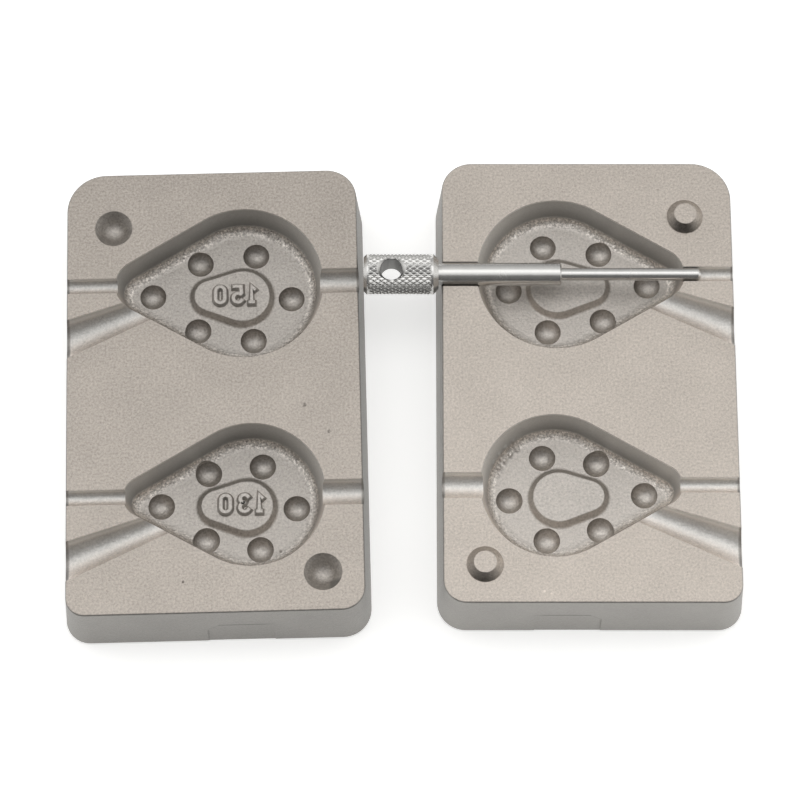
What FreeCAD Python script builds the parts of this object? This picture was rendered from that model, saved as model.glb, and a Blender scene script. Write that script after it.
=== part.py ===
# Open two-part mould for flat pear-shaped fishing sinkers, with its core rod.
# The halves lie side by side on their backs, parting faces up, and the rod lies in the stud half.
# Millimetres, +Z up, +Y away from the front end, origin on the ground under the middle of the set.

import math
import os

import FreeCAD
import Part
from FreeCAD import Vector

# The cast blocks. Outer means the long side away from the other half, inner the side next to it.
block_width = 63.0
block_length = 100.0
block_thickness = 18.0
wall_draft_deg = 4.0
far_outer_corner = 8.5
far_inner_corner = 6.5
near_outer_corner = 4.0
near_inner_corner = 5.0
back_edge_radius = 1.0
parting_edge_chamfer = 0.25

# What all cavities share. The two channel lines lie at this distance either side of the middle.
channel_line_offset = 24.05
cavity_depth = 7.5
cavity_draft_deg = 15.0
floor_fillet = 2.8
boss_height = 1.6
boss_draft_deg = 35.0
boss_top_fillet = 0.35
boss_foot_fillet = 0.8
dimple_rim_radius = 2.85
dimple_sphere_radius = 3.0
pattern_tilt_deg = -2.3

# The larger sinker, cast in the far cavity. Its outline is two circles and their common tangents.
large_round_radius = 17.2
large_tip_radius = 6.1
large_centre_distance = 21.8
large_round_centre = 6.8
large_ring_radius = 10.1
large_flank_radius = 12.7
large_tip_reach = 20.1
large_boss_round_radius = 5.8
large_boss_tip_radius = 3.5
large_boss_centre_distance = 7.0
large_boss_setback = 0.5

# The smaller sinker, cast in the near cavity.
small_round_radius = 15.9
small_tip_radius = 4.65
small_centre_distance = 22.55
small_round_centre = 7.75
small_ring_radius = 9.5
small_flank_radius = 12.1
small_tip_reach = 19.4
small_boss_round_radius = 5.5
small_boss_tip_radius = 3.4
small_boss_centre_distance = 6.3
small_boss_setback = 1.1

# Where the dimples of a ring stand, as angles about the round end's centre.
ring_angle_deg = 78.0
flank_angle_deg = 142.0

# The half-cone sprues, from the outer wall towards the tip of each cavity.
sprue_mouth_radius = 4.1
sprue_taper_deg = 4.0
sprue_angle_deg = 21.0
large_sprue_drop = 11.95
small_sprue_drop = 13.8

# The register: cast studs on one half and sockets in the other.
stud_base_radius = 3.95
stud_top_radius = 2.4
stud_height = 2.0
stud_top_fillet = 0.3
stud_clearance = 0.15
socket_depth = 3.3
far_stud_x = -21.4
far_stud_y = 37.4
near_stud_x = 22.7
near_stud_y = -41.6

# The ground-off casting gate on the front end wall.
gate_left = -2.2
gate_shoulder = 0.4
gate_right = 12.0
gate_top_depth = 8.0
gate_recess = 0.3

# The core rod: a knurled grip, a neck, a thick shaft and a thin shaft on one line.
rod_thick_diameter = 5.0
rod_thin_diameter = 2.7
rod_channel_clearance = 0.35
rod_seat_gap = 0.05
rod_thick_length = 26.6
rod_thin_length = 30.2
grip_diameter = 8.8
grip_length = 16.2
grip_end_chamfer = 0.7
grip_shoulder_chamfer = 1.1
neck_diameter = 4.6
neck_length = 0.7
step_chamfer = 0.3
tip_chamfer = 0.5
cross_hole_diameter = 4.7
cross_hole_from_end = 6.0
cross_hole_chamfer = 0.35
cross_hole_tilt_deg = 3.5

# How the set lies. The grip lies between the halves, on the line of the far channels, and these
# are its distances to the parting faces of the stud half and of the socket half.
grip_wall_gap = 0.8
grip_end_gap = 1.2
socket_half_yaw_deg = 1.5
stud_half_advance = 1.4

# By how much a cutting tool passes the face that it cuts, and how near counts as touching.
overshoot = 4.0
touch = 0.0001

along_x = Vector(1, 0, 0)


def tangent_of(degrees):
    return math.tan(math.radians(degrees))


def arc_edge(centre, radius, start_deg, end_deg):
    middle_deg = 0.5 * (start_deg + end_deg)
    points = []
    for angle in (start_deg, middle_deg, end_deg):
        turn = math.radians(angle)
        points.append(centre + Vector(radius * math.cos(turn), radius * math.sin(turn), 0))
    return Part.Arc(*points).toShape()


def closed_outline(arcs):
    """A wire of arcs in order, joined by straight edges."""
    edges = []
    for index, arc in enumerate(arcs):
        following = arcs[(index + 1) % len(arcs)]
        edges.append(arc)
        edges.append(Part.makeLine(arc.lastVertex(True).Point, following.firstVertex(True).Point))
    return Part.Wire(edges)


def block_outline(growth, z):
    """The plan of a block, with the inner side at +X, grown outwards by the draft."""
    half_x = 0.5 * block_width
    half_y = 0.5 * block_length
    corners = [
        (1, 1, far_inner_corner, 0),
        (-1, 1, far_outer_corner, 90),
        (-1, -1, near_outer_corner, 180),
        (1, -1, near_inner_corner, 270),
    ]
    arcs = []
    for side_x, side_y, radius, start in corners:
        centre = Vector(side_x * (half_x - radius), side_y * (half_y - radius), z)
        arcs.append(arc_edge(centre, radius + growth, start, start + 90))
    return closed_outline(arcs)


def pear_outline(round_centre, round_radius, tip_radius, centre_distance, z):
    """Two circles on a line along X and the tangents that join them, with the tip towards -X."""
    lean_deg = math.degrees(math.asin((round_radius - tip_radius) / centre_distance))
    centre = Vector(round_centre.x, round_centre.y, z)
    tip_centre = centre - Vector(centre_distance, 0, 0)
    round_end = arc_edge(centre, round_radius, -90 - lean_deg, 90 + lean_deg)
    tip_end = arc_edge(tip_centre, tip_radius, 90 + lean_deg, 270 - lean_deg)
    return closed_outline([round_end, tip_end])


def drafted_pear(centre, round_radius, tip_radius, distance, top_z, height, growth):
    """A pear-shaped body from top_z down, whose walls lean by growth over the height."""
    top = pear_outline(centre, round_radius, tip_radius, distance, top_z)
    bottom = pear_outline(centre, round_radius + growth, tip_radius + growth, distance, top_z - height)
    return Part.makeLoft([top, bottom], True, True)


def edges_at(shape, z):
    """The edges that lie in the plane at z."""
    found = []
    for edge in shape.Edges:
        box = edge.BoundBox
        if abs(box.ZMin - z) < touch and abs(box.ZMax - z) < touch:
            found.append(edge)
    return found


def edges_on(shape, outline):
    """The edges of a shape that run along an outline."""
    found = []
    for edge in shape.Edges:
        first, last = edge.ParameterRange
        middle = Part.Vertex(edge.valueAt(0.5 * (first + last)))
        if outline.distToShape(middle)[0] < touch:
            found.append(edge)
    return found


def block():
    growth = block_thickness * tangent_of(wall_draft_deg)
    face = block_outline(0, 0)
    back = block_outline(growth, -block_thickness)
    solid = Part.makeLoft([face, back], True, True)
    solid = solid.makeFillet(back_edge_radius, edges_at(solid, -block_thickness))
    return solid.makeChamfer(parting_edge_chamfer, edges_at(solid, 0))


def boss(round_centre, sizes):
    """The raised island in the middle of a cavity floor, which bears the number."""
    growth = boss_height * tangent_of(boss_draft_deg)
    centre = round_centre - Vector(sizes["boss_setback"], 0, 0)
    top_z = boss_height - cavity_depth
    body = drafted_pear(
        centre,
        sizes["boss_round_radius"],
        sizes["boss_tip_radius"],
        sizes["boss_centre_distance"],
        top_z,
        boss_height,
        growth,
    )
    return body.makeFillet(boss_top_fillet, edges_at(body, top_z))


def dimple_centres(round_centre, sizes):
    """The ring of six dimples: the round end, two pairs along the sides, and the tip."""
    stations = [(0.0, sizes["ring_radius"]), (180.0, sizes["tip_reach"])]
    for side in (-1, 1):
        stations.append((side * ring_angle_deg, sizes["ring_radius"]))
        stations.append((side * flank_angle_deg, sizes["flank_radius"]))
    centres = []
    for angle, radius in stations:
        turn = math.radians(angle)
        centres.append(round_centre + Vector(radius * math.cos(turn), radius * math.sin(turn), 0))
    return centres


def dimple(centre):
    lift = math.sqrt(dimple_sphere_radius**2 - dimple_rim_radius**2)
    return Part.makeSphere(dimple_sphere_radius, Vector(centre.x, centre.y, lift - cavity_depth))


def cavity(channel_y, sizes):
    """What one sinker takes out of a half: the pear, less its boss, with the dimples in its floor."""
    shrink = -cavity_depth * tangent_of(cavity_draft_deg)
    round_centre = Vector(sizes["round_centre"], channel_y, 0)
    body = drafted_pear(
        round_centre,
        sizes["round_radius"],
        sizes["tip_radius"],
        sizes["centre_distance"],
        0,
        cavity_depth,
        shrink,
    )
    body = body.makeFillet(floor_fillet, edges_at(body, -cavity_depth))
    tip = round_centre - Vector(sizes["tip_reach"], 0, 0)
    island = boss(round_centre, sizes)
    island.rotate(tip, Vector(0, 0, 1), pattern_tilt_deg)
    body = body.cut(island)
    foot = Part.Compound(edges_at(island, -cavity_depth))
    body = body.makeFillet(boss_foot_fillet, edges_on(body, foot))
    tools = [body]
    for centre in dimple_centres(round_centre, sizes):
        ball = dimple(centre)
        ball.rotate(tip, Vector(0, 0, 1), pattern_tilt_deg)
        tools.append(ball)
    return tools


def channel(channel_y, radius, start_x, end_x):
    return Part.makeCylinder(radius, end_x - start_x, Vector(start_x, channel_y, 0), along_x)


def channels(channel_y, sizes):
    """The half-round seats of the core rod, thin at the tip and thick at the round end."""
    wall_x = 0.5 * block_width + overshoot
    thin = 0.5 * rod_thin_diameter + rod_channel_clearance
    thick = 0.5 * rod_thick_diameter + rod_channel_clearance
    tip_x = sizes["round_centre"] - sizes["centre_distance"]
    return [
        channel(channel_y, thin, -wall_x, tip_x),
        channel(channel_y, thick, sizes["round_centre"], wall_x),
    ]


def sprue(channel_y, drop, sizes):
    """A half cone that leads the metal from the outer wall into the tip of the cavity."""
    turn = math.radians(sprue_angle_deg)
    direction = Vector(math.cos(turn), math.sin(turn), 0)
    mouth = Vector(-0.5 * block_width, channel_y - drop, 0)
    start = mouth - direction * overshoot
    tip_x = sizes["round_centre"] - sizes["centre_distance"]
    length = (tip_x - mouth.x) / direction.x + 2 * sizes["tip_radius"]
    widen = tangent_of(sprue_taper_deg)
    start_radius = sprue_mouth_radius + overshoot * widen
    end_radius = sprue_mouth_radius - length * widen
    return Part.makeCone(start_radius, end_radius, overshoot + length, start, direction)


def stud(x, y):
    cone = Part.makeCone(stud_base_radius, stud_top_radius, stud_height, Vector(x, y, 0))
    cone = cone.makeFillet(stud_top_fillet, edges_at(cone, stud_height))
    slope = (stud_base_radius - stud_top_radius) / stud_height
    root = Part.makeCone(stud_base_radius + slope, stud_base_radius, 1.0, Vector(x, y, -1.0))
    root = root.common(Part.makeCylinder(stud_base_radius, 1.0, Vector(x, y, -1.0)))
    return cone.fuse(root).removeSplitter()


def socket(x, y):
    """A cone like the stud's, with clearance, that ends in a rounded bottom."""
    mouth = stud_base_radius + stud_clearance
    waist = stud_top_radius + stud_clearance
    slope = (stud_base_radius - stud_top_radius) / stud_height
    above = Vector(mouth + slope, 0, 1.0)
    bend = Vector(waist, 0, -stud_height)
    bottom = Vector(0, 0, -socket_depth)
    rise = socket_depth - stud_height
    ball = (waist**2 + rise**2) / (2 * rise)
    half_turn = 0.5 * math.asin(waist / ball)
    halfway = Vector(ball * math.sin(half_turn), 0, ball * (1 - math.cos(half_turn)) - socket_depth)
    top_axis = Vector(0, 0, 1.0)
    profile = Part.Wire([
        Part.makeLine(top_axis, above),
        Part.makeLine(above, bend),
        Part.Arc(bend, halfway, bottom).toShape(),
        Part.makeLine(bottom, top_axis),
    ])
    solid = Part.Face(profile).revolve(Vector(0, 0, 0), Vector(0, 0, 1), 360)
    solid.translate(Vector(x, y, 0))
    return solid


def gate_mark():
    """The shallow flat on the front end wall where the casting gate was ground away."""
    low = -block_thickness - overshoot
    corners = [
        Vector(gate_left, 0, low),
        Vector(gate_left, 0, -gate_top_depth - (gate_shoulder - gate_left)),
        Vector(gate_shoulder, 0, -gate_top_depth),
        Vector(gate_right, 0, -gate_top_depth),
        Vector(gate_right, 0, low),
    ]
    face = Part.Face(Part.makePolygon(corners + corners[:1]))
    solid = face.extrude(Vector(0, -overshoot, 0))
    solid.rotate(Vector(0, 0, 0), along_x, -wall_draft_deg)
    recess = gate_recess / math.cos(math.radians(wall_draft_deg))
    solid.translate(Vector(0, recess - 0.5 * block_length, 0))
    return solid


def large_sizes():
    return {
        "round_radius": large_round_radius,
        "tip_radius": large_tip_radius,
        "centre_distance": large_centre_distance,
        "round_centre": large_round_centre,
        "ring_radius": large_ring_radius,
        "flank_radius": large_flank_radius,
        "tip_reach": large_tip_reach,
        "boss_round_radius": large_boss_round_radius,
        "boss_tip_radius": large_boss_tip_radius,
        "boss_centre_distance": large_boss_centre_distance,
        "boss_setback": large_boss_setback,
    }


def small_sizes():
    return {
        "round_radius": small_round_radius,
        "tip_radius": small_tip_radius,
        "centre_distance": small_centre_distance,
        "round_centre": small_round_centre,
        "ring_radius": small_ring_radius,
        "flank_radius": small_flank_radius,
        "tip_reach": small_tip_reach,
        "boss_round_radius": small_boss_round_radius,
        "boss_tip_radius": small_boss_tip_radius,
        "boss_centre_distance": small_boss_centre_distance,
        "boss_setback": small_boss_setback,
    }


def plain_half():
    """What both halves share, seen on the parting face with the inner side at +X."""
    tools = [gate_mark()]
    layout = [
        (channel_line_offset, large_sizes(), large_sprue_drop),
        (-channel_line_offset, small_sizes(), small_sprue_drop),
    ]
    for channel_y, sizes, drop in layout:
        tools.extend(cavity(channel_y, sizes))
        tools.extend(channels(channel_y, sizes))
        tools.append(sprue(channel_y, drop, sizes))
    return block().cut(tools)


def socket_half(common):
    sockets = [socket(far_stud_x, far_stud_y), socket(near_stud_x, near_stud_y)]
    return common.cut(sockets)


def stud_half(common):
    studs = [stud(far_stud_x, far_stud_y), stud(near_stud_x, near_stud_y)]
    solid = common.fuse(studs)
    return solid.mirror(Vector(0, 0, 0), along_x)


def rod_profile():
    """Half of the rod's outline, from the free end of the grip at zero to the tip, along +X."""
    grip = 0.5 * grip_diameter
    neck = 0.5 * neck_diameter
    thick = 0.5 * rod_thick_diameter
    thin = 0.5 * rod_thin_diameter
    shoulder = grip - grip_shoulder_chamfer
    thick_start = grip_length + neck_length
    step = grip_length + rod_thick_length
    tip = step + rod_thin_length
    return [
        Vector(0, 0, 0),
        Vector(0, grip - grip_end_chamfer, 0),
        Vector(grip_end_chamfer, grip, 0),
        Vector(grip_length - grip_shoulder_chamfer, grip, 0),
        Vector(grip_length, shoulder, 0),
        Vector(grip_length, neck, 0),
        Vector(thick_start, neck, 0),
        Vector(thick_start, thick, 0),
        Vector(step - step_chamfer, thick, 0),
        Vector(step, thick - step_chamfer, 0),
        Vector(step, thin, 0),
        Vector(tip - tip_chamfer, thin, 0),
        Vector(tip, thin - tip_chamfer, 0),
        Vector(tip, 0, 0),
    ]


def cross_hole():
    """The hole across the grip, with its mouths opened by a small countersink."""
    radius = 0.5 * cross_hole_diameter
    reach = 0.5 * grip_diameter
    centre = Vector(cross_hole_from_end, 0, 0)
    tools = [Part.makeCylinder(radius, 2 * reach, centre - Vector(0, 0, reach))]
    sink_depth = reach - math.sqrt(reach**2 - radius**2) + cross_hole_chamfer
    for side in (-1, 1):
        base = centre + Vector(0, 0, side * (reach - sink_depth))
        tools.append(Part.makeCone(radius, radius + sink_depth, sink_depth, base, Vector(0, 0, side)))
    return tools


def core_rod():
    points = rod_profile()
    face = Part.Face(Part.makePolygon(points + points[:1]))
    solid = face.revolve(Vector(0, 0, 0), along_x, 360)
    solid = solid.cut(cross_hole())
    solid.rotate(Vector(0, 0, 0), along_x, cross_hole_tilt_deg)
    return solid


def laid_out():
    """All pieces in place, with the ground at zero height."""
    common = plain_half()
    left = socket_half(common)
    right = stud_half(common)
    rod = core_rod()
    seat_drop = rod_channel_clearance - rod_seat_gap
    right_x = grip_length + grip_wall_gap + 0.5 * block_width
    right.translate(Vector(right_x, stud_half_advance, block_thickness))
    rod.translate(Vector(0, stud_half_advance + channel_line_offset, block_thickness - seat_drop))
    left.translate(Vector(-0.5 * block_width, -channel_line_offset, 0))
    left.rotate(Vector(0, 0, 0), Vector(0, 0, 1), socket_half_yaw_deg)
    left.translate(Vector(-grip_end_gap, channel_line_offset, block_thickness))
    pieces = {"socket_half": left, "stud_half": right, "core_rod": rod}
    box = Part.makeCompound(list(pieces.values())).optimalBoundingBox(False, False)
    for solid in pieces.values():
        solid.translate(Vector(-box.Center.x, -box.Center.y, 0))
    return pieces


def main():
    os.makedirs("parts", exist_ok=True)
    for name, shape in laid_out().items():
        solid = shape.Solids[0]
        solid.exportStep("parts/" + name + ".step")
        print(name, "solids", len(shape.Solids), "valid", solid.isValid(), "volume", round(solid.Volume, 1))


main()
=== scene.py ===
# Looks of the two-part sinker mould: cast and blasted aluminium halves, turned steel core rod.
# The sizes below are in millimetres, and the places of the pieces come from the frame, in metres.

import math

import bmesh
import bpy
from mathutils import Matrix, Vector


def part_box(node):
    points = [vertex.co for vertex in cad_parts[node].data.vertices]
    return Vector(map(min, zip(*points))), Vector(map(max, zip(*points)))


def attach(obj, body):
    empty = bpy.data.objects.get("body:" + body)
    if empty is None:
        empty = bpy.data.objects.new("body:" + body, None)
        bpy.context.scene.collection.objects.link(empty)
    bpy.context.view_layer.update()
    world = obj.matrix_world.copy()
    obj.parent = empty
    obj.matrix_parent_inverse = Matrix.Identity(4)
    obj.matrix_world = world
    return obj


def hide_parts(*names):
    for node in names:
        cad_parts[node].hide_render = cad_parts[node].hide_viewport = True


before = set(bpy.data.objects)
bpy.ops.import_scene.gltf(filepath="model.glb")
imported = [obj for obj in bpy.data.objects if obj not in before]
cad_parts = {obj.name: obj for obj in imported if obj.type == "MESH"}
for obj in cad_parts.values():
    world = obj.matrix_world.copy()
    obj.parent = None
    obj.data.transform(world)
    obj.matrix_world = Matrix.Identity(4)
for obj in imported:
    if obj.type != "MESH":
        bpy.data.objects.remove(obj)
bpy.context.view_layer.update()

MM = 0.001

# The halves, and the depth of the tops of the numbered islands below the parting face.
BLOCK_WIDTH = 63.0
BLOCK_LENGTH = 100.0
CAVITY_DEPTH = 7.5
BOSS_TOP_DEPTH = 5.9
SOCKET_HALF_YAW = math.radians(1.5)

# An oval round each island, by its centre and its reach along and across the half.
ISLAND_CENTRE = (3.6, 24.05)
ISLAND_REACH = (11.0, 8.4)

# The middles of the conical sockets, and the reach of a ball that holds one of them.
SOCKETS = [(-21.4, 37.4, -1.6), (22.7, -41.6, -1.6)]
SOCKET_REACH = 5.5
SOCKET_CORE = 5.0

# Where each zone of a half fades in. Heights are above the parting face and reaches are from the
# middle of the half. A level is the upward part of the surface's direction: zero on an upright
# wall and one on a floor.
FACE_HEIGHTS = (-0.12, -0.02)
SIDE_REACHES = (0.5 * BLOCK_WIDTH - 0.6, 0.5 * BLOCK_WIDTH - 0.1)
END_REACHES = (0.5 * BLOCK_LENGTH - 0.8, 0.5 * BLOCK_LENGTH - 0.3)
CORNER_SIDE_REACHES = (23.5, 24.5)
CORNER_END_REACHES = (42.5, 43.5)
DEEP_HEIGHTS = (-4.4, -5.2)
WALL_LEVELS = (0.62, 0.38)
WALL_HEIGHTS = (-6.0, -5.4)
WALL_TOP_HEIGHTS = (-6.0, -0.5)
INNER_WALL_FACING = (0.1, 0.9)
DIMPLE_HEIGHTS = (-7.52, -7.7)
STUD_HEIGHTS = (0.05, 0.2)
STUD_LEVELS = (0.95, 0.8)
FILLET_STEEP_LEVELS = (0.3, 0.55)
FILLET_FLAT_LEVELS = (0.995, 0.9)
OFF_ISLAND = (0.9, 1.1)
RIM_HEIGHTS = (-0.4, -0.2)
RIM_LEVELS = (0.6, 0.4)

# The metal of the castings: blasted face, cavity floor, satin walls with a painted lit tint facing
# back and a painted shaded tint facing front, outer skin.
FACE_COLOUR = (0.462, 0.420, 0.378, 1.0)
FLOOR_COLOUR = (0.455, 0.426, 0.395, 1.0)
SHADED_SATIN_COLOUR = (0.455, 0.447, 0.430, 1.0)
LIT_SATIN_COLOUR = (0.495, 0.452, 0.415, 1.0)
# The outer skin is darker partly as cast skin and partly by painted shade.
SKIN_AND_SHADE_COLOUR = (0.290, 0.279, 0.263, 1.0)
LIT_SATIN_FACING = (-0.3, 0.5)

# How light each half is painted, the difference between the halves being painted light, and how much
# painted light falls off for each millimetre towards the back.
SOCKET_HALF_PAINTED_LIGHT = 0.9
STUD_HALF_PAINTED_LIGHT = 1.05
PAINTED_LIGHT_FALL = 0.0012

# The cast grain, in waves for each millimetre: soft clouds, fine grain and coarse grain.
CLOUDS_PER_MM = 0.09
GRAIN_PER_MM = 2.0
COARSE_GRAIN_PER_MM = 0.8
CLOUD_CONTRAST = 0.2
GRAIN_BUMP = 0.12

# What each zone adds to a property of the surface. The word all stands for the whole half, and
# back, right, inner and top for the part of a zone that faces or lies that way.
# The fillets' share of the grain contrast paints glints into their grain.
GRAIN_CONTRAST = {"all": 1.5, "fillet": 1.2, "wall": -1.1, "runner": -0.5, "outside": -0.7}
ROUGHNESS = {"all": 0.47, "wall": 0.08, "fillet": -0.12, "dimple": -0.1, "stud": -0.1}
ROUGHNESS_CONTRAST = 0.3
GRAIN_HEIGHT = {"all": 0.9, "fillet": 0.5, "wall": -0.6}
COARSE_HEIGHT = {"all": 0.4, "fillet": 1.1, "inside": 0.5, "wall": -0.85, "runner": -0.6}
# Painted light and shade in the colour: walls are painted darker low down and lighter towards the top,
# inner walls and runners lighter, hollows lighter facing back and left and darker facing front and
# right, studs darker but lighter where they face back or right, and fillets lighter, most where they
# face back, with painted glints.
PAINTED_LIGHT = {
    "all": 1.0,
    "wall": -0.12,
    "wall top": 0.6,
    "inner wall": 0.3,
    "runner": 0.35,
    "hollow back": 0.45,
    "hollow right": -0.25,
    "stud": -0.25,
    "stud back": 0.5,
    "stud right": 0.5,
    "fillet": 0.3,
    "fillet back": 0.5,
    "painted_glints": 0.35,
}
# A painted highlight along the upper edges of the cavities.
RIM_PAINTED_LIGHT = 0.5
# Painted glints in the fillets, where the grain is high and the fillet faces back.
GLINT_GRAIN = (0.4, 0.7)
GLINT_FACING = (0.2, -0.2)

# A painted shadow line along the upper edge of the ground-off gate on the front walls, which slopes
# down left of its shoulder.
GATE_LEFT_ENDS = (-2.6, -1.8)
GATE_RIGHT_ENDS = (13.0, 9.0)
GATE_SHOULDER = 0.4
GATE_DEPTH = 8.0
GATE_SHADE = 0.55
GATE_SLOPE_SHARE = 0.3
GATE_SLOPE_DROPS = (0.4, 0.0)
GATE_LINE_GAPS = (0.6, 0.15)
GATE_WALL = (-49.0, -49.5)

# The cutter's chatter in the smaller cavity of the stud half. Its angles are in radians, and its
# reaches from the centre are squared.
CHATTER_CENTRE = (7.75, -24.05)
CHATTER_START = 0.3
CHATTER_END = 1.1
CHATTER_FADE = 0.1
CHATTER_PITCH = 0.15
CHATTER_BUMP = 0.3
CHATTER_LOW_HEIGHTS = (-7.6, -7.2)
CHATTER_HIGH_HEIGHTS = (-4.2, -5.4)
CHATTER_SQUARED_REACHES = (81.0, 110.0)

# How much darker a pit is than the face round it, and a bright scratched spot, which is lighter.
PIT_SHADE = 0.25
PIT_BUMP = 0.18
BRIGHT_SHADE = -0.4

# The marks on each half, with the inner side at +X: place, radius and shade.
SOCKET_HALF_MARKS = [
    ((13.6, -34.6, -CAVITY_DEPTH), 0.4, PIT_SHADE),
    ((-6.8, -43.1, 0.0), 0.35, PIT_SHADE),
    ((6.9, 39.6, 0.0), 0.5, PIT_SHADE),
    ((19.4, -4.3, 0.0), 0.6, PIT_SHADE),
    ((24.5, -10.4, 0.0), 0.45, PIT_SHADE),
]
STUD_HALF_MARKS = [
    ((10.3, -47.5, 0.0), 0.45, BRIGHT_SHADE),
    ((8.8, -48.0, 0.0), 0.35, BRIGHT_SHADE),
]

# The raised numerals on the islands of the socket half, mirrored because the lead copies them.
# Each number has the place of its line across the half, then each numeral and its place along it.
DIGIT_HEIGHT = 5.5
DIGIT_WIDTH = 3.75
DIGIT_STROKE = 1.75
DIGIT_TOP_STROKE = 0.75
DIGIT_RISE = 0.95
DIGIT_FOOT_RISE = 0.99
DIGIT_SINK = 0.1
DIGIT_ROUNDING = 0.09
DIGIT_ROUNDED_ANGLE = math.radians(25)
DIGIT_SHARP_ANGLE = math.radians(40)
STROKE_END_SHARE = 0.4
MITER_LIMIT = 0.6
NUMBERS = {
    "number_large": (23.4, [("1", 8.25), ("5", 5.2), ("0", 1.35)]),
    "number_small": (-24.4, [("1", 9.3), ("3", 6.1), ("0", 2.05)]),
}

# The rod, from the free end of the grip to the tip.
GRIP_LENGTH = 16.2
GRIP_END_CHAMFER = 0.7
GRIP_SHOULDER_CHAMFER = 1.1
NECK_DIAMETER = 4.6
NECK_LENGTH = 0.7
ROD_THICK_DIAMETER = 5.0
ROD_THIN_DIAMETER = 2.7
ROD_THICK_LENGTH = 26.6
STEP_CHAMFER = 0.3
TIP_CHAMFER = 0.5
SHAFT_ROWS = 12
ROD_SHARP_ANGLE = math.radians(22)
HOLE_DIAMETER = 4.7
HOLE_FROM_END = 6.0
HOLE_SINK = 0.35
HOLE_TILT = math.radians(3.5)
HOLE_SIDES = 64
WELD_DISTANCE = 0.001

# The diamond knurl on the grip.
KNURL_AROUND = 27
KNURL_PITCH = 1.55
KNURL_DEPTH = 0.3
KNURL_STEPS = 8
KNURL_START = 0.9
KNURL_END = 14.8
KNURL_RUN_OUT = 0.5

# The steel of the rod. Its noise is stretched round the rod into the rings that a lathe leaves.
STEEL_COLOUR = (0.60, 0.595, 0.58, 1.0)
STEEL_ROUGHNESS = 0.24
RING_SQUEEZE = (1.0, 0.03, 0.03)
FINE_RINGS_PER_MM = 9.0
WIDE_RINGS_PER_MM = 1.6
SMUDGES_PER_MM = 0.35
RING_CONTRAST = 0.12
RING_ROUGHNESS = 0.12
RING_BUMP = 0.004
SMUDGE_CONTRAST = 0.12
SMUDGE_ROUGHNESS = 0.1

# How much painted shade darkens the steel in the cross hole and how much rougher it is there, and how
# far outside its wall the change starts and ends.
BORE_SHADE = 0.5
BORE_ROUGHNESS = 0.25
BORE_MARGINS = (0.15, 0.05)

# The view.
CAMERA_ELEVATION = math.radians(70.5)
CAMERA_DISTANCE = 0.75
CAMERA_TARGET = Vector((0.0002, -0.0035, 0.018))
PIXELS_PER_MM = 4.675
FRAME_PIXELS = 800
SENSOR_WIDTH = 36.0

# The studio. Each softbox has its width, depth, place and how bright it looks, where 1 is white.
SOFTBOXES = {
    "wide_softbox": (2.0, 1.06, Vector((0.05, 0.0, 1.0)), 0.62),
    "high_softbox": (1.3, 0.5, Vector((-0.1, 0.04, 0.95)), 0.42),
}
ROOM_FRONT = 0.10
ROOM_BACK = 0.38
ROOM_BACK_START = (-0.25, 0.4)
ROOM_SIDES = 1.1
ROOM_SIDES_POWER = 5.0
ROOM_RISE = 0.62
ROOM_FRONT_RISE = 0.3
ROOM_COLOUR = (1.0, 0.995, 0.985, 1.0)
FLOOR_SIZE = 4.0
FLOOR_PAINT = (0.90, 0.90, 0.89, 1.0)
FLOOR_ROUGHNESS = 0.9
FLOOR_CLOUDS_PER_MM = 0.02
FLOOR_CONTRAST = 0.01
FLOOR_ROUGHNESS_CONTRAST = 0.02
FLOOR_BUMP = 0.01
FLOOR_GLOW_COLOUR = (1.0, 1.0, 0.995, 1.0)
FLOOR_GLOW = 0.47


class Signal:
    """One socket of a node tree, which can be used in sums like a number."""

    def __init__(self, nodes, socket):
        self.nodes = nodes
        self.socket = socket

    def __add__(self, other):
        return self.nodes.math("ADD", self, other)

    def __radd__(self, other):
        return self.nodes.math("ADD", other, self)

    def __sub__(self, other):
        return self.nodes.math("SUBTRACT", self, other)

    def __rsub__(self, other):
        return self.nodes.math("SUBTRACT", other, self)

    def __mul__(self, other):
        return self.nodes.math("MULTIPLY", self, other)

    def __rmul__(self, other):
        return self.nodes.math("MULTIPLY", other, self)

    def __abs__(self):
        return self.nodes.math("ABSOLUTE", self)


class Nodes:
    """The nodes of a material or of the world."""

    def __init__(self, tree):
        self.tree = tree

    def node(self, kind, settings, sockets, output=0):
        """A node of that kind: its settings first, then the values or links of its sockets."""
        made = self.tree.nodes.new(kind)
        for name, value in settings.items():
            setattr(made, name, value)
        for name, value in sockets.items():
            socket = made.inputs[name]
            if isinstance(value, Signal):
                self.tree.links.new(value.socket, socket)
            else:
                socket.default_value = value
        return Signal(self, made.outputs[output])

    def math(self, operation, first, second=0.0):
        return self.node("ShaderNodeMath", {"operation": operation}, {0: first, 1: second})

    def largest(self, first, second):
        return self.math("MAXIMUM", first, second)

    def ramp(self, value, low, high):
        """Zero below low, one above high and smooth between them. It falls where low is above high."""
        settings = {"interpolation_type": "SMOOTHSTEP", "clamp": True}
        sockets = {"Value": value, "From Min": low, "From Max": high, "To Min": 0.0, "To Max": 1.0}
        return self.node("ShaderNodeMapRange", settings, sockets)

    def split(self, vector):
        made = self.node("ShaderNodeSeparateXYZ", {}, {"Vector": vector})
        outputs = made.socket.node.outputs
        return [Signal(self, outputs[axis]) for axis in ("X", "Y", "Z")]


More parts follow.
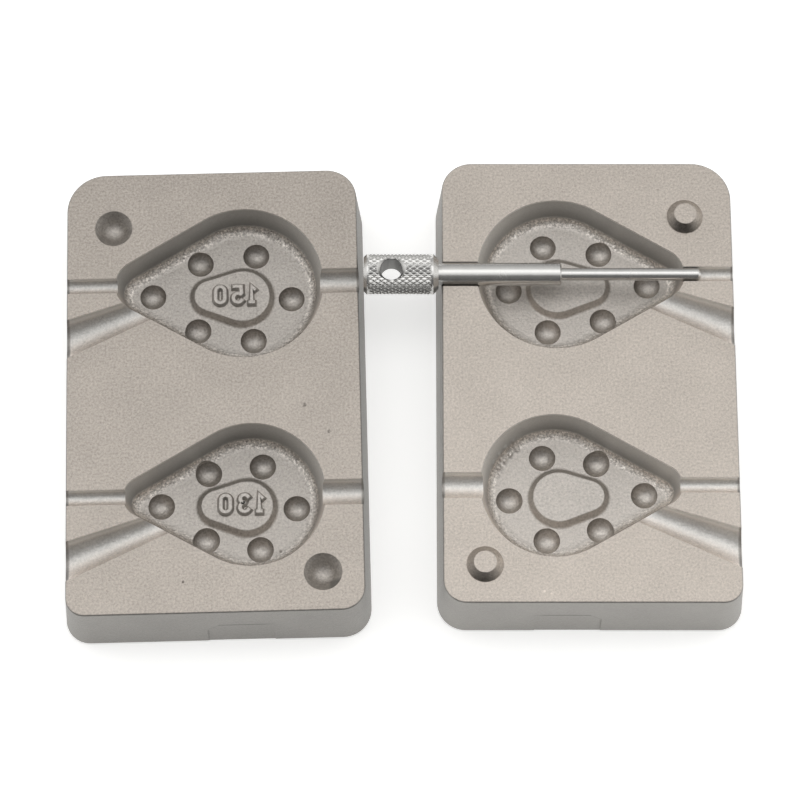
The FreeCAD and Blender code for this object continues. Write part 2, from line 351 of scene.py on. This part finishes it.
class Shader(Nodes):
    """A material whose surface is painted by nodes."""

    def __init__(self, name):
        self.material = bpy.data.materials.new(name)
        self.material.use_nodes = True
        super().__init__(self.material.node_tree)
        self.surface = self.tree.nodes["Principled BSDF"]

    def mix(self, factor, first, second):
        """A colour between two, by a factor."""
        settings = {"data_type": "RGBA", "blend_type": "MIX"}
        return self.node("ShaderNodeMix", settings, {0: factor, 6: first, 7: second}, output=2)

    def tint(self, colour, factor):
        """A colour made lighter or darker by a factor."""
        base = colour if isinstance(colour, Signal) else colour[:3]
        return self.node("ShaderNodeVectorMath", {"operation": "SCALE"}, {0: base, "Scale": factor})

    def coordinates(self, origin=(0.0, 0.0, 0.0), yaw=0.0, mirrored=False):
        """Places on the object in millimetres from an origin, turned and mirrored as one half is."""
        place = self.node("ShaderNodeTexCoord", {}, {}, output="Object")
        sign = -1.0 if mirrored else 1.0
        turned = Matrix.Rotation(-yaw, 3, "Z") @ Vector(origin)
        shift = Vector((-turned.x * sign, -turned.y, -turned.z)) / MM
        sockets = {
            "Vector": place,
            "Location": shift,
            "Rotation": (0.0, 0.0, -yaw),
            "Scale": (sign / MM, 1.0 / MM, 1.0 / MM),
        }
        return self.node("ShaderNodeMapping", {"vector_type": "POINT"}, sockets)

    def facing(self):
        """The rightward, backward and upward parts of the surface's direction."""
        return self.split(self.node("ShaderNodeNewGeometry", {}, {}, output="Normal"))

    def noise(self, vector, per_mm, detail=2.0, roughness=0.5):
        sockets = {"Vector": vector, "Scale": per_mm, "Detail": detail, "Roughness": roughness}
        return self.node("ShaderNodeTexNoise", {}, sockets)

    def near(self, vector, place, radius, core=0.0):
        """One within a core round a place and zero beyond a radius from it, in millimetres."""
        sockets = {0: vector, 1: place}
        gap = self.node("ShaderNodeVectorMath", {"operation": "DISTANCE"}, sockets, output="Value")
        return self.ramp(gap, radius, core)

    def bump(self, height, distance, onto=None):
        """A bump whose height of one stands for a distance in millimetres."""
        sockets = {"Height": height, "Distance": distance * MM}
        if onto is not None:
            sockets["Normal"] = onto
        return self.node("ShaderNodeBump", {}, sockets)

    def finish(self, colour, roughness, normal, metallic):
        for name, value in (("Base Color", colour), ("Roughness", roughness), ("Normal", normal)):
            self.tree.links.new(value.socket, self.surface.inputs[name])
        self.surface.inputs["Metallic"].default_value = metallic
        return self.material


def weigh(amounts, zones):
    """The amount for the whole half, and each zone's amount where that zone is."""
    total = amounts["all"]
    for name, amount in amounts.items():
        if name != "all":
            total = total + zones[name] * amount
    return total


def casting_zones(shader, place, level):
    """How far each place on a half lies in each of its zones, from zero to one."""
    x, y, z = shader.split(place)
    face = shader.ramp(z, *FACE_HEIGHTS)
    side = shader.ramp(abs(x), *SIDE_REACHES)
    end = shader.ramp(abs(y), *END_REACHES)
    corner = shader.ramp(abs(x), *CORNER_SIDE_REACHES) * shader.ramp(abs(y), *CORNER_END_REACHES)
    outside = shader.largest(shader.largest(side, end), corner) * (1.0 - face)
    inside = (1.0 - outside) * (1.0 - face)
    deep = shader.ramp(z, *DEEP_HEIGHTS)
    wall = inside * shader.ramp(level, *WALL_LEVELS) * shader.ramp(z, *WALL_HEIGHTS)
    socket = 0.0
    for spot in SOCKETS:
        socket = shader.largest(socket, shader.near(place, spot, SOCKET_REACH, SOCKET_CORE))
    runner = inside * (1.0 - deep) * (1.0 - wall) * (1.0 - socket)
    dimple = inside * shader.ramp(z, *DIMPLE_HEIGHTS)
    island_x = (x - ISLAND_CENTRE[0]) * (1.0 / ISLAND_REACH[0])
    island_y = (abs(y) - ISLAND_CENTRE[1]) * (1.0 / ISLAND_REACH[1])
    off_island = shader.ramp(island_x * island_x + island_y * island_y, *OFF_ISLAND)
    bend = shader.ramp(level, *FILLET_STEEP_LEVELS) * shader.ramp(level, *FILLET_FLAT_LEVELS)
    return {
        "face": face,
        "outside": outside,
        "inside": inside,
        "wall": wall,
        "wall top": wall * shader.ramp(z, *WALL_TOP_HEIGHTS),
        "runner": runner,
        "dimple": dimple,
        "fillet": inside * deep * bend * (1.0 - dimple) * off_island,
        "stud": shader.ramp(z, *STUD_HEIGHTS) * shader.ramp(level, *STUD_LEVELS),
        "rim": inside * shader.ramp(z, *RIM_HEIGHTS) * shader.ramp(level, *RIM_LEVELS),
    }


def add_facing_zones(shader, zones, rightward, backward, outward, grain):
    """The parts of the zones that face one way, which carry painted light and shade, and the painted
    glints in the fillets' grain.
    """
    hollow = zones["runner"] + zones["dimple"]
    back = shader.largest(backward, 0.0)
    right = shader.largest(rightward, 0.0)
    painted_glints = shader.ramp(grain, *GLINT_GRAIN) * shader.ramp(backward, *GLINT_FACING)
    zones["inner wall"] = zones["wall"] * shader.ramp(outward, *INNER_WALL_FACING)
    zones["hollow back"] = hollow * backward
    zones["hollow right"] = hollow * rightward
    zones["stud back"] = zones["stud"] * backward
    zones["stud right"] = zones["stud"] * right
    zones["fillet back"] = zones["fillet"] * back
    zones["painted_glints"] = zones["fillet"] * painted_glints


def casting_colour(shader, zones, backward):
    """The metal of each zone, with the satin's painted lit and shaded tints, before its grain and
    painted light and shade.
    """
    # The satin takes a painted lit tint where it faces back and a painted shaded tint where it faces
    # front.
    satin = shader.mix(shader.ramp(backward, *LIT_SATIN_FACING), SHADED_SATIN_COLOUR, LIT_SATIN_COLOUR)
    colour = shader.mix(shader.largest(zones["wall"], zones["runner"]), FLOOR_COLOUR, satin)
    # The outer skin, darker partly as cast and partly by painted shade.
    colour = shader.mix(zones["outside"], colour, SKIN_AND_SHADE_COLOUR)
    return shader.mix(zones["face"], colour, FACE_COLOUR)


def cast_aluminium(name, origin, yaw, mirrored, painted_half_light, marks, chatter):
    """Blasted parting faces, smooth satin walls and runners, and granular fillets and floors, with
    light and shade painted into their colour by zone and facing.
    """
    shader = Shader(name)
    place = shader.coordinates(origin, yaw, mirrored)
    x, y, z = shader.split(place)
    rightward, backward, level = shader.facing()
    outward = rightward * (1.0 if mirrored else -1.0)
    cloud = shader.noise(place, CLOUDS_PER_MM, detail=3.0)
    grain = shader.noise(place, GRAIN_PER_MM, detail=4.0, roughness=0.75)
    coarse = shader.noise(place, COARSE_GRAIN_PER_MM, detail=3.0, roughness=0.65)
    zones = casting_zones(shader, place, level)
    add_facing_zones(shader, zones, rightward, backward, outward, grain)

    colour = casting_colour(shader, zones, backward)
    # Painted light: each half's own level and a fall towards the back.
    tone = painted_half_light - PAINTED_LIGHT_FALL * y + (cloud - 0.5) * CLOUD_CONTRAST
    tone = tone + (grain - 0.5) * weigh(GRAIN_CONTRAST, zones)
    # Painted light and shade, by zone and facing.
    colour = shader.tint(colour, tone * weigh(PAINTED_LIGHT, zones))
    # A painted highlight along the cavity rims.
    colour = shader.tint(colour, 1.0 + RIM_PAINTED_LIGHT * zones["rim"])
    # A painted shadow line along the edge of the ground-off gate.
    colour = shader.tint(colour, 1.0 - GATE_SHADE * zones["outside"] * gate_shadow_line(shader, x, y, z))

    roughness = weigh(ROUGHNESS, zones) + (grain - 0.5) * ROUGHNESS_CONTRAST
    height = grain * weigh(GRAIN_HEIGHT, zones) + coarse * weigh(COARSE_HEIGHT, zones)
    normal = shader.bump(height, GRAIN_BUMP)
    pits = 0.0
    for spot, radius, shade in marks:
        mark = shader.near(place, spot, radius)
        colour = shader.tint(colour, 1.0 - shade * mark)
        if shade > 0:
            pits = shader.largest(pits, mark)
    normal = shader.bump(1.0 - pits, PIT_BUMP, onto=normal)
    if chatter:
        normal = shader.bump(chatter_waves(shader, x, y, z), CHATTER_BUMP, onto=normal)
    return shader.finish(colour, roughness, normal, 1.0)


def gate_shadow_line(shader, x, y, z):
    """A painted shadow line along the upper edge of the ground-off casting gate on the front wall."""
    slope = shader.largest(GATE_SHOULDER - x, 0.0)
    ends = shader.ramp(x, *GATE_LEFT_ENDS) * shader.ramp(x, *GATE_RIGHT_ENDS)
    faint = GATE_SLOPE_SHARE + (1.0 - GATE_SLOPE_SHARE) * shader.ramp(slope, *GATE_SLOPE_DROPS)
    line = shader.ramp(abs(z + GATE_DEPTH + slope), *GATE_LINE_GAPS)
    return line * ends * faint * shader.ramp(y, *GATE_WALL)


def chatter_waves(shader, x, y, z):
    """The ridges that a chattering cutter left in one part of the smaller cavity's fillet."""
    off_x = x - CHATTER_CENTRE[0]
    off_y = y - CHATTER_CENTRE[1]
    turn = shader.math("ARCTAN2", off_y, off_x)
    start = shader.ramp(turn, CHATTER_START, CHATTER_START + CHATTER_FADE)
    end = shader.ramp(turn, CHATTER_END, CHATTER_END - CHATTER_FADE)
    band = shader.ramp(z, *CHATTER_LOW_HEIGHTS) * shader.ramp(z, *CHATTER_HIGH_HEIGHTS)
    outer = shader.ramp(off_x * off_x + off_y * off_y, *CHATTER_SQUARED_REACHES)
    waves = 0.5 + 0.5 * shader.math("SINE", turn * (2 * math.pi / CHATTER_PITCH))
    return waves * start * end * band * outer


def turned_steel(name, origin, grip_radius):
    """Bright steel with the fine rings that a lathe leaves round it, duller and darkened by painted
    shade in the cross hole.
    """
    shader = Shader(name)
    place = shader.coordinates(origin)
    rings = shader.node("ShaderNodeVectorMath", {"operation": "MULTIPLY"}, {0: place, 1: RING_SQUEEZE})
    fine = shader.noise(rings, FINE_RINGS_PER_MM, detail=3.0, roughness=0.7)
    wide = shader.noise(rings, WIDE_RINGS_PER_MM, detail=2.0)
    smudge = shader.noise(place, SMUDGES_PER_MM, detail=2.0)
    x, y, z = shader.split(place)
    off_x = x - HOLE_FROM_END
    off_y = y - grip_radius + (z - grip_radius) * math.tan(HOLE_TILT)
    squares = [(0.5 * HOLE_DIAMETER + margin) ** 2 for margin in BORE_MARGINS]
    bored = shader.ramp(off_x * off_x + off_y * off_y, *squares)
    tone = 1.0 + (fine - 0.5) * RING_CONTRAST + (smudge - 0.5) * SMUDGE_CONTRAST
    # The cross hole is darkened by painted shade.
    colour = shader.tint(STEEL_COLOUR, tone - BORE_SHADE * bored)
    roughness = STEEL_ROUGHNESS + (wide - 0.5) * RING_ROUGHNESS + (smudge - 0.5) * SMUDGE_ROUGHNESS
    normal = shader.bump(fine, RING_BUMP)
    return shader.finish(colour, roughness + BORE_ROUGHNESS * bored, normal, 1.0)


def floor_paint():
    """A pale floor that shows as near white, with the object's shadow, to the eye and in metal."""
    shader = Shader("pale_floor")
    place = shader.coordinates()
    cloud = shader.noise(place, FLOOR_CLOUDS_PER_MM, detail=2.0)
    colour = shader.tint(FLOOR_PAINT, 1.0 + (cloud - 0.5) * FLOOR_CONTRAST)
    roughness = FLOOR_ROUGHNESS + (cloud - 0.5) * FLOOR_ROUGHNESS_CONTRAST
    normal = shader.bump(cloud, FLOOR_BUMP)
    seen = 0.0
    for ray in ("Is Camera Ray", "Is Glossy Ray", "Is Transmission Ray"):
        seen = shader.largest(seen, shader.node("ShaderNodeLightPath", {}, {}, output=ray))
    glow = shader.tint(FLOOR_GLOW_COLOUR, FLOOR_GLOW * seen)
    shader.tree.links.new(glow.socket, shader.surface.inputs["Emission Color"])
    shader.surface.inputs["Emission Strength"].default_value = 1.0
    return shader.finish(colour, roughness, normal, 0.0)


def soften(mesh_data, sharp_angle):
    """Smooth faces, with the edges kept sharp where the surface turns by more than an angle."""
    for face in mesh_data.faces:
        face.smooth = True
    for edge in mesh_data.edges:
        edge.smooth = edge.calc_face_angle(0.0) < sharp_angle


def piece_from(mesh_data, name, material):
    """An object at the origin, made from a bmesh, which is used up."""
    mesh = bpy.data.meshes.new(name)
    mesh_data.to_mesh(mesh)
    mesh_data.free()
    mesh.materials.append(material)
    piece = bpy.data.objects.new(name, mesh)
    bpy.context.scene.collection.objects.link(piece)
    return piece


def centre_of(node):
    low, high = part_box(node)
    return (low + high) / 2


def bend_points(centre, radius, start_deg, end_deg, steps):
    """Points on an arc, in the plane of a numeral."""
    points = []
    for step in range(steps + 1):
        turn = math.radians(start_deg + (end_deg - start_deg) * step / steps)
        x = centre[0] + radius[0] * math.cos(turn)
        y = centre[1] + radius[1] * math.sin(turn)
        points.append(Vector((x, y)))
    return points


def digit_strokes(digit):
    """The middle lines of a numeral, as read on the lead: points, whether closed, and height.

    Places are shares of how far a middle line may lie from the numeral's middle.
    """
    half_w = 0.5 * (DIGIT_WIDTH - DIGIT_STROKE)
    half_h = 0.5 * (DIGIT_HEIGHT - DIGIT_STROKE)
    if digit == "0":
        straight = half_h - half_w
        top = bend_points((0.0, straight), (half_w, half_w), 0, 180, 10)
        low = bend_points((0.0, -straight), (half_w, half_w), 180, 360, 10)
        return [(top + low, True, DIGIT_RISE)]
    if digit == "1":
        flag = Vector((-0.6 * half_w, 0.6 * half_h))
        head = Vector((0.05 * half_w, half_h))
        foot = Vector((0.05 * half_w, -0.8 * half_h))
        left_foot = Vector((-0.35 * half_w, -half_h))
        right_foot = Vector((0.45 * half_w, -half_h))
        stem = ([flag, head, foot], False, DIGIT_RISE)
        return [stem, ([left_foot, right_foot], False, DIGIT_FOOT_RISE)]
    if digit == "3":
        top_r = 0.47 * half_h
        low_r = half_h - top_r
        upper = bend_points((0.0, half_h - top_r), (half_w * 0.92, top_r), 150, -80, 12)
        lower = bend_points((0.0, low_r - half_h), (half_w, low_r), 80, -150, 12)
        return [(upper + lower, False, DIGIT_RISE)]
    bowl_r = 0.56 * half_h
    bowl = bend_points((0.0, bowl_r - half_h), (half_w, bowl_r), 125, -150, 14)
    neck = Vector((-half_w * 0.8, half_h * 0.12))
    corner = Vector((-half_w * 0.7, half_h))
    return [([Vector((half_w * 0.85, half_h)), corner, neck] + bowl, False, DIGIT_RISE)]


def stroke_corners(points, index, closed, rise):
    """The four corners of a stroke where its middle line passes one of its points."""
    point = points[index]
    ways = []
    end = 0.0
    if closed or index > 0:
        ways.append((point - points[index - 1]).normalized())
    else:
        end = -STROKE_END_SHARE
    if closed or index < len(points) - 1:
        ways.append((points[(index + 1) % len(points)] - point).normalized())
    else:
        end = STROKE_END_SHARE
    way = sum(ways, Vector((0.0, 0.0))).normalized()
    across = Vector((-way.y, way.x))
    miter = 1.0 / max(MITER_LIMIT, across.dot(Vector((-ways[0].y, ways[0].x))))
    corners = []
    for side, stroke, height in (
        (-0.5, DIGIT_STROKE, -DIGIT_SINK),
        (-0.5, DIGIT_TOP_STROKE, rise),
        (0.5, DIGIT_TOP_STROKE, rise),
        (0.5, DIGIT_STROKE, -DIGIT_SINK),
    ):
        flat = point + across * side * stroke * miter + way * end * stroke
        corners.append(Vector((flat.x, flat.y, height)))
    return corners


def stroke_mesh(target, points, closed, rise, to_frame):
    """A raised stroke with leaning sides and a narrower flat top, added to a bmesh."""
    sections = []
    for index in range(len(points)):
        corners = stroke_corners(points, index, closed, rise)
        sections.append([target.verts.new(to_frame @ corner) for corner in corners])
    spans = len(points) if closed else len(points) - 1
    for index in range(spans):
        first = sections[index]
        second = sections[(index + 1) % len(points)]
        for corner in range(4):
            turned = (corner + 1) % 4
            target.faces.new((first[corner], first[turned], second[turned], second[corner]))
    if not closed:
        target.faces.new(sections[0])
        target.faces.new(list(reversed(sections[-1])))


def numeral_place(place_x, line_y):
    """The matrix that mirrors a numeral, in millimetres, onto its island, in metres."""
    low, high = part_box("socket_half")
    origin = centre_of("socket_half")
    on_island = Matrix.Translation((origin.x, origin.y, high.z - BOSS_TOP_DEPTH * MM))
    turned = Matrix.Rotation(SOCKET_HALF_YAW, 4, "Z")
    on_line = Matrix.Translation((place_x, line_y, 0.0))
    mirrored = Matrix.Diagonal((-1.0, 1.0, 1.0, 1.0))
    return on_island @ turned @ Matrix.Scale(MM, 4) @ on_line @ mirrored


def number_piece(name, line_y, numerals, material):
    """A mirrored number on its island in the socket half."""
    mesh_data = bmesh.new()
    for digit, place_x in numerals:
        to_frame = numeral_place(place_x, line_y)
        for points, closed, rise in digit_strokes(digit):
            stroke_mesh(mesh_data, points, closed, rise, to_frame)
    bmesh.ops.recalc_face_normals(mesh_data, faces=mesh_data.faces)
    edges = [edge for edge in mesh_data.edges if edge.calc_face_angle(0.0) > DIGIT_ROUNDED_ANGLE]
    bmesh.ops.bevel(
        mesh_data,
        geom=edges,
        offset=DIGIT_ROUNDING * MM,
        affect="EDGES",
        segments=2,
        profile=0.5,
        material=-1,
    )
    soften(mesh_data, DIGIT_SHARP_ANGLE)
    piece = piece_from(mesh_data, name, material)
    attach(piece, "root")
    return piece


def knurl_height(along, turn):
    """How far the knurl stands up, from zero in a groove to one on a crest."""
    around = KNURL_AROUND * turn / (2 * math.pi)
    heights = []
    for sign in (-1, 1):
        phase = (around + sign * along / KNURL_PITCH) % 1.0
        heights.append(abs(2 * phase - 1))
    return min(heights)


def shaft_rows(start, end, radius):
    """Places along a shaft, so near each other that its faces stay short, with its radius."""
    return [(start + (end - start) * row / SHAFT_ROWS, radius) for row in range(SHAFT_ROWS + 1)]


def rod_profile():
    """Places along the rod and its radius there, from the free end to the tip."""
    low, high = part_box("core_rod")
    grip = 0.5 * (high.z - low.z) / MM
    length = (high.x - low.x) / MM
    neck = 0.5 * NECK_DIAMETER
    thick = 0.5 * ROD_THICK_DIAMETER
    thin = 0.5 * ROD_THIN_DIAMETER
    step = GRIP_LENGTH + ROD_THICK_LENGTH
    profile = [(0.0, grip - GRIP_END_CHAMFER), (GRIP_END_CHAMFER, grip)]
    rows = round((KNURL_END - KNURL_START) * KNURL_STEPS / KNURL_PITCH)
    for row in range(rows + 1):
        profile.append((KNURL_START + row * KNURL_PITCH / KNURL_STEPS, grip))
    profile += [
        (GRIP_LENGTH - GRIP_SHOULDER_CHAMFER, grip),
        (GRIP_LENGTH, grip - GRIP_SHOULDER_CHAMFER),
        (GRIP_LENGTH, neck),
        (GRIP_LENGTH + NECK_LENGTH, neck),
    ]
    profile += shaft_rows(GRIP_LENGTH + NECK_LENGTH, step - STEP_CHAMFER, thick)
    profile.append((step, thick - STEP_CHAMFER))
    profile += shaft_rows(step, length - TIP_CHAMFER, thin)
    profile.append((length, thin - TIP_CHAMFER))
    return profile


def spin_round(mesh_data, axis, steps):
    """Turns the outline that a bmesh holds into a body round an axis through the origin."""
    bmesh.ops.spin(
        mesh_data,
        geom=mesh_data.verts[:] + mesh_data.edges[:],
        cent=(0.0, 0.0, 0.0),
        axis=axis,
        angle=2 * math.pi,
        steps=steps,
        use_merge=True,
    )


def outline_from(places):
    """A bmesh that holds an open outline through places in millimetres."""
    mesh_data = bmesh.new()
    chain = [mesh_data.verts.new(Vector(place) * MM) for place in places]
    for first, second in zip(chain, chain[1:]):
        mesh_data.edges.new((first, second))
    return mesh_data


def rod_mesh():
    """The turned rod along X from its free end, in metres, with the knurl pressed into the grip."""
    mesh_data = outline_from([(along, radius, 0.0) for along, radius in rod_profile()])
    spin_round(mesh_data, (1.0, 0.0, 0.0), KNURL_AROUND * KNURL_STEPS)
    rims = [edge for edge in mesh_data.edges if edge.is_boundary]
    bmesh.ops.holes_fill(mesh_data, edges=rims, sides=0)
    bmesh.ops.recalc_face_normals(mesh_data, faces=mesh_data.faces)
    for vert in mesh_data.verts:
        along = vert.co.x / MM
        if KNURL_START < along < KNURL_END:
            turn = math.atan2(vert.co.z, vert.co.y)
            from_end = min(along - KNURL_START, KNURL_END - along)
            run_out = min(1.0, from_end / KNURL_RUN_OUT)
            cut = KNURL_DEPTH * MM * (1 - knurl_height(along, turn)) * run_out
            radius = math.hypot(vert.co.y, vert.co.z)
            vert.co.y *= (radius - cut) / radius
            vert.co.z *= (radius - cut) / radius
    return mesh_data


def hole_cutter(grip_radius):
    """The drill and its two countersinks, as one closed turned body along Z."""
    radius = 0.5 * HOLE_DIAMETER
    reach = grip_radius + 1.0
    sink = grip_radius - math.sqrt(grip_radius**2 - radius**2) + HOLE_SINK
    start = grip_radius - sink
    outline = [
        (0.0, 0.0, -reach),
        (radius + reach - start, 0.0, -reach),
        (radius, 0.0, -start),
        (radius, 0.0, start),
        (radius + reach - start, 0.0, reach),
        (0.0, 0.0, reach),
    ]
    mesh_data = outline_from(outline)
    spin_round(mesh_data, (0.0, 0.0, 1.0), HOLE_SIDES)
    bmesh.ops.remove_doubles(mesh_data, verts=mesh_data.verts, dist=WELD_DISTANCE * MM)
    bmesh.ops.recalc_face_normals(mesh_data, faces=mesh_data.faces)
    return mesh_data


def rod_piece(material):
    """The core rod with its cross hole, in the place of the plain turned rod."""
    low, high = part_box("core_rod")
    axis = Vector((low.x, (low.y + high.y) / 2, (low.z + high.z) / 2))
    body = piece_from(rod_mesh(), "core_rod_turned", material)
    drill_data = hole_cutter(0.5 * (high.z - low.z) / MM)
    bmesh.ops.rotate(
        drill_data,
        verts=drill_data.verts,
        cent=(0.0, 0.0, 0.0),
        matrix=Matrix.Rotation(HOLE_TILT, 3, "X"),
    )
    bmesh.ops.translate(drill_data, verts=drill_data.verts, vec=(HOLE_FROM_END * MM, 0.0, 0.0))
    drill = piece_from(drill_data, "cross_drill", material)
    cut = body.modifiers.new("cross_hole", "BOOLEAN")
    cut.operation = "DIFFERENCE"
    cut.solver = "EXACT"
    cut.object = drill
    graph = bpy.context.evaluated_depsgraph_get()
    cut_mesh = bpy.data.meshes.new_from_object(body.evaluated_get(graph))
    body.modifiers.clear()
    bpy.data.objects.remove(drill)
    finished = bmesh.new()
    finished.from_mesh(cut_mesh)
    bmesh.ops.translate(finished, verts=finished.verts, vec=axis)
    soften(finished, ROD_SHARP_ANGLE)
    finished.to_mesh(body.data)
    finished.free()
    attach(body, "root")
    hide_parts("core_rod")
    return body


def dress_halves():
    """The cast finish on both halves, with the marks that each one carries."""
    left = centre_of("socket_half")
    right = centre_of("stud_half")
    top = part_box("socket_half")[1].z
    socket_half_cast = cast_aluminium(
        "cast_aluminium_socket_half",
        origin=(left.x, left.y, top),
        yaw=SOCKET_HALF_YAW,
        mirrored=False,
        painted_half_light=SOCKET_HALF_PAINTED_LIGHT,
        marks=SOCKET_HALF_MARKS,
        chatter=False,
    )
    stud_half_cast = cast_aluminium(
        "cast_aluminium_stud_half",
        origin=(right.x, right.y, top),
        yaw=0.0,
        mirrored=True,
        painted_half_light=STUD_HALF_PAINTED_LIGHT,
        marks=STUD_HALF_MARKS,
        chatter=True,
    )
    for node, material in (("socket_half", socket_half_cast), ("stud_half", stud_half_cast)):
        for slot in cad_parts[node].material_slots:
            slot.material = material
    return socket_half_cast


def lay_floor():
    mesh_data = bmesh.new()
    bmesh.ops.create_grid(mesh_data, x_segments=2, y_segments=2, size=FLOOR_SIZE)
    floor = piece_from(mesh_data, "floor", floor_paint())


def light_room():
    """A dim room, darkest in front and lighter above, at the back and at the sides."""
    world = bpy.data.worlds.new("studio")
    bpy.context.scene.world = world
    world.use_nodes = True
    nodes = Nodes(world.node_tree)
    x, y, z = nodes.split(nodes.node("ShaderNodeTexCoord", {}, {}, output="Generated"))
    behind = nodes.ramp(y, *ROOM_BACK_START)
    above = nodes.largest(z, 0.0)
    side = nodes.math("POWER", abs(x), ROOM_SIDES_POWER)
    strength = ROOM_FRONT + (ROOM_BACK - ROOM_FRONT) * behind
    strength = strength + ROOM_RISE * above * (ROOM_FRONT_RISE + (1.0 - ROOM_FRONT_RISE) * behind)
    strength = strength + ROOM_SIDES * side
    background = world.node_tree.nodes["Background"]
    world.node_tree.links.new(strength.socket, background.inputs["Strength"])
    background.inputs["Color"].default_value = ROOM_COLOUR


def hang_softbox(name, width, depth, place, brightness):
    """A large flat lamp above the set, facing down."""
    data = bpy.data.lights.new(name, "AREA")
    data.shape = "RECTANGLE"
    data.size = width
    data.size_y = depth
    data.energy = brightness * math.pi * width * depth
    lamp = bpy.data.objects.new(name, data)
    lamp.location = place
    bpy.context.scene.collection.objects.link(lamp)


def place_camera():
    """The camera in front of the set, looking steeply down at it."""
    data = bpy.data.cameras.new("camera")
    data.sensor_width = SENSOR_WIDTH
    focal_pixels = PIXELS_PER_MM * CAMERA_DISTANCE / MM
    data.lens = focal_pixels * SENSOR_WIDTH / FRAME_PIXELS
    back = Vector((0.0, -math.cos(CAMERA_ELEVATION), math.sin(CAMERA_ELEVATION)))
    camera = bpy.data.objects.new("camera", data)
    camera.location = CAMERA_TARGET + back * CAMERA_DISTANCE
    camera.rotation_mode = "QUATERNION"
    camera.rotation_quaternion = (-back).to_track_quat("-Z", "Y")
    data.clip_start = 0.01
    data.clip_end = 20.0
    bpy.context.scene.collection.objects.link(camera)
    bpy.context.scene.camera = camera


bpy.context.scene.view_settings.view_transform = "Standard"
casting = dress_halves()
for piece_name, (line_y, numerals) in NUMBERS.items():
    number_piece(piece_name, line_y, numerals, casting)
rod_low, rod_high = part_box("core_rod")
rod_piece(turned_steel("turned_steel_rod", tuple(rod_low), 0.5 * (rod_high.z - rod_low.z) / MM))
lay_floor()
light_room()
for lamp_name, (width, depth, place, brightness) in SOFTBOXES.items():
    hang_softbox(lamp_name, width, depth, place, brightness)
place_camera()
